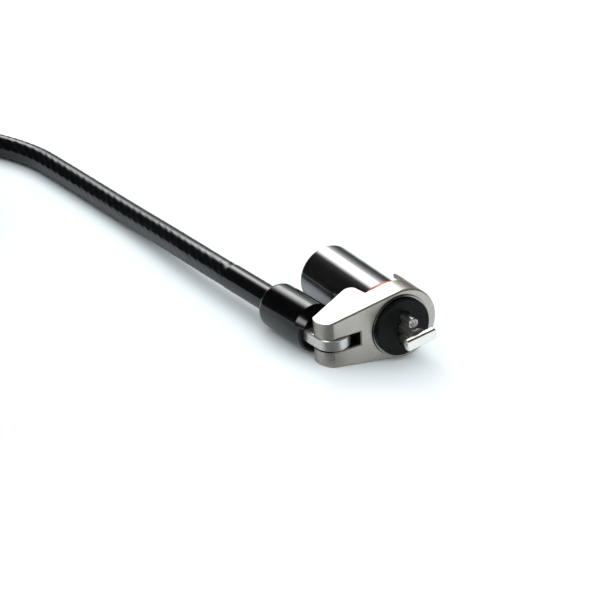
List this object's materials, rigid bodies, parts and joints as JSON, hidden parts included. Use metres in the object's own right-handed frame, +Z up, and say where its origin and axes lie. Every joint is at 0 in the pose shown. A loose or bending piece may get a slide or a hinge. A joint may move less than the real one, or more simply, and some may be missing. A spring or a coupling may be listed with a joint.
{
  "type": "laptop cable lock",
  "caption": "Keyed laptop cable lock: round barrel with a turning T-bar, swivelling teardrop bracket, folding eye, and a coiled steel cable with an anchor loop.",
  "frame": {"origin": "on the barrel's axis, in the plane of the bracket's front face", "axes": "+Y runs back along the barrel towards the key, +Z is up from the surface that the bracket's flank lies on, +X is to the right"},
  "size_m": [0.1299, 0.1623, 0.0246],
  "materials": {
    "polished_barrel": "dark polished chrome",
    "satin_bracket": "satin nickel over cast metal",
    "bright_steel": "bright polished nickel",
    "black_disc": "matte black",
    "boot_moulding": "glossy black moulding",
    "sleeve_moulding": "smooth black",
    "cable_jacket": "black jacket that shows the twist of the rope below",
    "tie_strap": "matte black strap",
    "red_washer": "orange-red",
    "lock_brass": "turned brass",
    "lock_steel": "plain steel"
  },
  "bodies": {
    "cable_end": {"eye_tang": "bright_steel", "cable_boot": "boot_moulding", "rope_core": "lock_steel", "smooth_sleeve": "sleeve_moulding", "cable_run": "cable_jacket", "cable_coil": "cable_jacket", "coil_tie": "tie_strap", "cable_tail": "cable_jacket", "end_sleeve": "sleeve_moulding", "end_loop": "cable_jacket"},
    "bracket": {"swivel_bracket": "satin_bracket", "hinge_pin": "satin_bracket"},
    "barrel": {"lock_body": "polished_barrel", "barrel_shell": "polished_barrel", "nose_disc": "black_disc", "guard_pin_upper": "bright_steel", "guard_pin_lower": "bright_steel", "swivel_washer": "red_washer"},
    "core": {"lock_core": "lock_brass", "t_bar": "bright_steel", "stem_clip": "lock_steel", "stop_pin": "lock_steel", "side_bar": "lock_steel", "key_disc": "lock_steel", "code_disc_1": "lock_brass", "code_disc_2": "lock_brass", "code_disc_3": "lock_brass", "code_disc_4": "lock_brass", "code_disc_5": "lock_brass", "code_disc_6": "lock_brass", "code_disc_7": "lock_brass", "disc_spacer_1": "lock_steel", "disc_spacer_2": "lock_steel", "disc_spacer_3": "lock_steel", "disc_spacer_4": "lock_steel", "disc_spacer_5": "lock_steel", "disc_spacer_6": "lock_steel", "disc_spacer_7": "lock_steel"}
  },
  "joints": [
    {"name": "head_hinge", "type": "hinge", "parent": "cable_end", "child": "bracket", "pos_m": [-0.01324, 0.0033, -0.00207], "axis": [0.1547, 0, -0.988], "range_deg": [-8, 180]},
    {"name": "barrel_swivel", "type": "hinge", "parent": "bracket", "child": "barrel", "pos_m": [0, 0.003, 0], "axis": [0, 1, 0], "continuous": true},
    {"name": "key_turn", "type": "hinge", "parent": "barrel", "child": "core", "pos_m": [0, 0.003, 0], "axis": [0, -1, 0], "range_deg": [-11.5, 78.5]}
  ]
}
